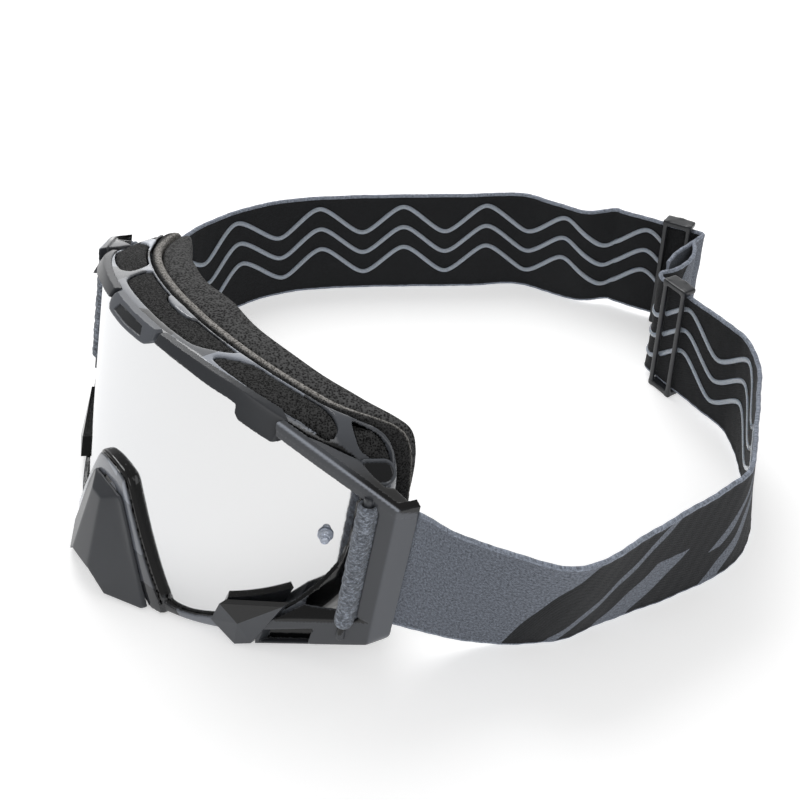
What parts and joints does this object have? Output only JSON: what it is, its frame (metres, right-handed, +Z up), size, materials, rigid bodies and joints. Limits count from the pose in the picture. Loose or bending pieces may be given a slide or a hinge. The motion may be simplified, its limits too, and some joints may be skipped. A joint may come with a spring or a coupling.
{
  "type": "motocross goggles",
  "caption": "Wrap-around riding goggles with a cylindrical lens, vented frame, face foam, clip-on nose guard, hinged strap outriggers and an elastic head strap with slide adjusters.",
  "frame": {"origin": "on the table, under the middle of the bounding box of the goggles and their strap; the goggles' mirror plane is at X = -6.94 mm", "axes": "+X towards the wearer's left, +Y from the lens towards the head and the back of the strap, +Z up from the table; the goggles lean back 13.2 degrees as they rest"},
  "size_m": [0.2416, 0.272, 0.0959],
  "materials": {
    "frame_gloss": "glossy moulded TPU, black with grey angular patches",
    "trim_grey": "semi-gloss",
    "trim_charcoal": "semi-gloss",
    "lens_mirror": "silver mirrored polycarbonate",
    "gasket_rubber": "matte",
    "post_clear": "clear moulded",
    "vent_foam": "open-cell foam",
    "foam_base": "dense closed-cell foam",
    "foam_core": "soft foam",
    "foam_fleece": "brushed fleece",
    "guard_satin": "satin",
    "outrigger_satin": "semi-gloss",
    "strap_webbing": "elastic twill webbing, black brushed inside",
    "silicone": "glossy silicone",
    "slider_satin": "satin"
  },
  "bodies": {
    "frame_body": {"frame": "frame_gloss", "brow_plate": "trim_grey", "brow_trim_left": "trim_charcoal", "brow_trim_right": "trim_charcoal", "lower_clip_left": "trim_charcoal", "lower_clip_right": "trim_charcoal", "temple_cap_left": "frame_gloss", "temple_cap_right": "frame_gloss", "lens": "lens_mirror", "lens_gasket": "gasket_rubber", "tear_off_posts": "post_clear", "vent_foam_centre": "vent_foam", "vent_foam_left": "vent_foam", "vent_foam_right": "vent_foam", "vent_foam_temple_left": "vent_foam", "vent_foam_temple_right": "vent_foam", "vent_foam_lower_left": "vent_foam", "vent_foam_lower_right": "vent_foam", "face_foam_base": "foam_base", "face_foam_core": "foam_core", "face_fleece": "foam_fleece", "strap_left": "strap_webbing", "strap_right": "strap_webbing", "grip_beads_left": "silicone", "grip_beads_right": "silicone"},
    "nose_guard_body": {"nose_guard": "guard_satin"},
    "outrigger_left_body": {"outrigger_left": "outrigger_satin", "strap_loop_left": "strap_webbing"},
    "outrigger_right_body": {"outrigger_right": "outrigger_satin", "strap_loop_right": "strap_webbing"},
    "slider_left_body": {"slider_left": "slider_satin"},
    "slider_right_body": {"slider_right": "slider_satin"}
  },
  "joints": [
    {"name": "outrigger_left_hinge", "type": "hinge", "parent": "frame_body", "child": "outrigger_left_body", "pos_m": [0.05136, -0.0941, 0.04238], "axis": [0, -0.2284, -0.9736], "range_deg": [-3, 8]},
    {"name": "outrigger_right_hinge", "type": "hinge", "parent": "frame_body", "child": "outrigger_right_body", "pos_m": [-0.06524, -0.0941, 0.04238], "axis": [0, 0.2284, 0.9736], "range_deg": [-3, 8]},
    {"name": "nose_guard_slide", "type": "slide", "parent": "frame_body", "child": "nose_guard_body", "axis": [0, -0.9736, 0.2284], "range_m": [0, 0.025]},
    {"name": "slider_left_slide", "type": "slide", "parent": "frame_body", "child": "slider_left_body", "axis": [0.9967, -0.0818, 0], "range_m": [0, 0.012]},
    {"name": "slider_right_slide", "type": "slide", "parent": "frame_body", "child": "slider_right_body", "axis": [-0.9191, -0.3939, 0], "range_m": [0, 0.012]}
  ]
}
